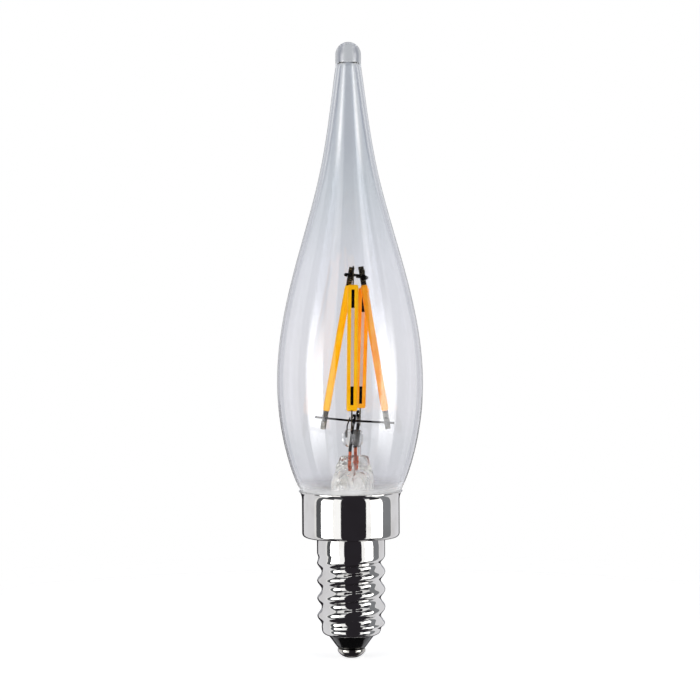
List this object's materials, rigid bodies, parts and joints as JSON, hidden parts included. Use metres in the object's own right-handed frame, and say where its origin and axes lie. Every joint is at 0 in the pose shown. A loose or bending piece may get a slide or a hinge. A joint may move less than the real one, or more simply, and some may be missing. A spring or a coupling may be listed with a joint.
{
  "type": "candle bulb",
  "caption": "Slender clear glass candle bulb with amber light strips on a wire mount, a nickel-plated rolled screw cap and a black glass insulator.",
  "frame": {"origin": "lowest point of the centre contact, on the lamp's axis, at the bottom of the overall box", "axes": "+Z along the lamp's axis from the cap to the glass tip; +Y away from the camera of the picture; +X to its right, across the faces of the left and right light strips"},
  "size_m": [0.0204, 0.0204, 0.086],
  "materials": {
    "bulb_glass": "clear blown glass",
    "stem_glass": "clear pressed glass",
    "plated_shell": "bright nickel plate",
    "black_glass": "glossy black glass",
    "contact_metal": "tinned, slightly dull",
    "solder": "soft solder, satin",
    "cement": "hard matt cement",
    "copper_clad": "copper-clad seal wire",
    "nickel_wire": "drawn nickel-plated wire",
    "clip_steel": "stamped plated strip",
    "amber_coat": "amber silicone with phosphor",
    "orange_coat": "amber silicone with phosphor",
    "strip_base": "translucent ceramic",
    "board": "coated laminate",
    "chip_black": "moulded black resin",
    "resistor_body": "dipped ceramic body"
  },
  "bodies": {
    "root": {"glass_envelope": "bulb_glass", "stem": "stem_glass", "lead_bead": "stem_glass", "screw_shell": "plated_shell", "insulator": "black_glass", "centre_contact": "contact_metal", "contact_solder": "solder", "capping_cement": "cement", "seal_wire_front": "copper_clad", "seal_wire_back": "copper_clad", "lead_front": "nickel_wire", "lead_back": "nickel_wire", "cross_wire": "nickel_wire", "cross_wire_post": "nickel_wire", "top_link_front": "nickel_wire", "top_link_back": "nickel_wire", "coat_left": "amber_coat", "base_left": "strip_base", "lower_clip_left": "clip_steel", "upper_clip_left": "clip_steel", "coat_right": "orange_coat", "base_right": "strip_base", "lower_clip_right": "clip_steel", "upper_clip_right": "clip_steel", "coat_front": "amber_coat", "base_front": "strip_base", "lower_clip_front": "clip_steel", "upper_clip_front": "clip_steel", "coat_back": "orange_coat", "base_back": "strip_base", "lower_clip_back": "clip_steel", "upper_clip_back": "clip_steel", "driver_board": "board", "rectifier": "chip_black", "driver_chip": "chip_black", "fusible_resistor": "resistor_body", "outer_lead_front": "nickel_wire", "outer_lead_back": "nickel_wire", "supply_lead": "nickel_wire", "shell_lead": "nickel_wire", "side_solder": "solder"}
  },
  "joints": []
}
